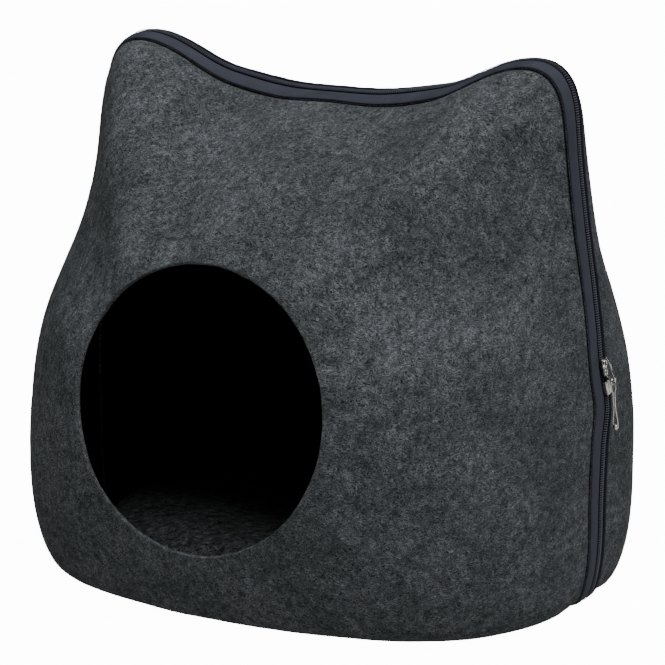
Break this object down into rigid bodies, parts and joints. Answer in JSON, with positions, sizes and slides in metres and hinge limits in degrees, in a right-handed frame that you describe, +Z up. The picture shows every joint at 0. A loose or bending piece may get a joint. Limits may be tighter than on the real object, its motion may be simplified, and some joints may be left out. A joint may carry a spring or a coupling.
{
  "type": "felt cat cave",
  "caption": "Enclosed pet bed of moulded felt in the outline of a cat's head, zipped together all round, with a round entry and a plush cushion inside.",
  "frame": {"origin": "centre of the base on the floor, under the middle of the cave's bounding box", "axes": "+Z up, +X towards the side with the zip's slider, the entry faces -Y"},
  "size_m": [0.5155, 0.457, 0.4569],
  "materials": {
    "felt": "needled grey felt, mottled",
    "binding_tape": "woven tape, blue-grey",
    "zip_coil": "dark polyester coil on woven tape",
    "nickel": "nickel plated",
    "plush": "dark plush"
  },
  "bodies": {
    "root": {"shell_front": "felt", "shell_back": "felt", "binding_front": "binding_tape", "binding_back": "binding_tape", "zip_chain": "zip_coil", "slider_body": "nickel", "slider_ring": "nickel", "slider_pull": "nickel", "zip_box": "nickel", "cushion": "plush"}
  },
  "joints": []
}
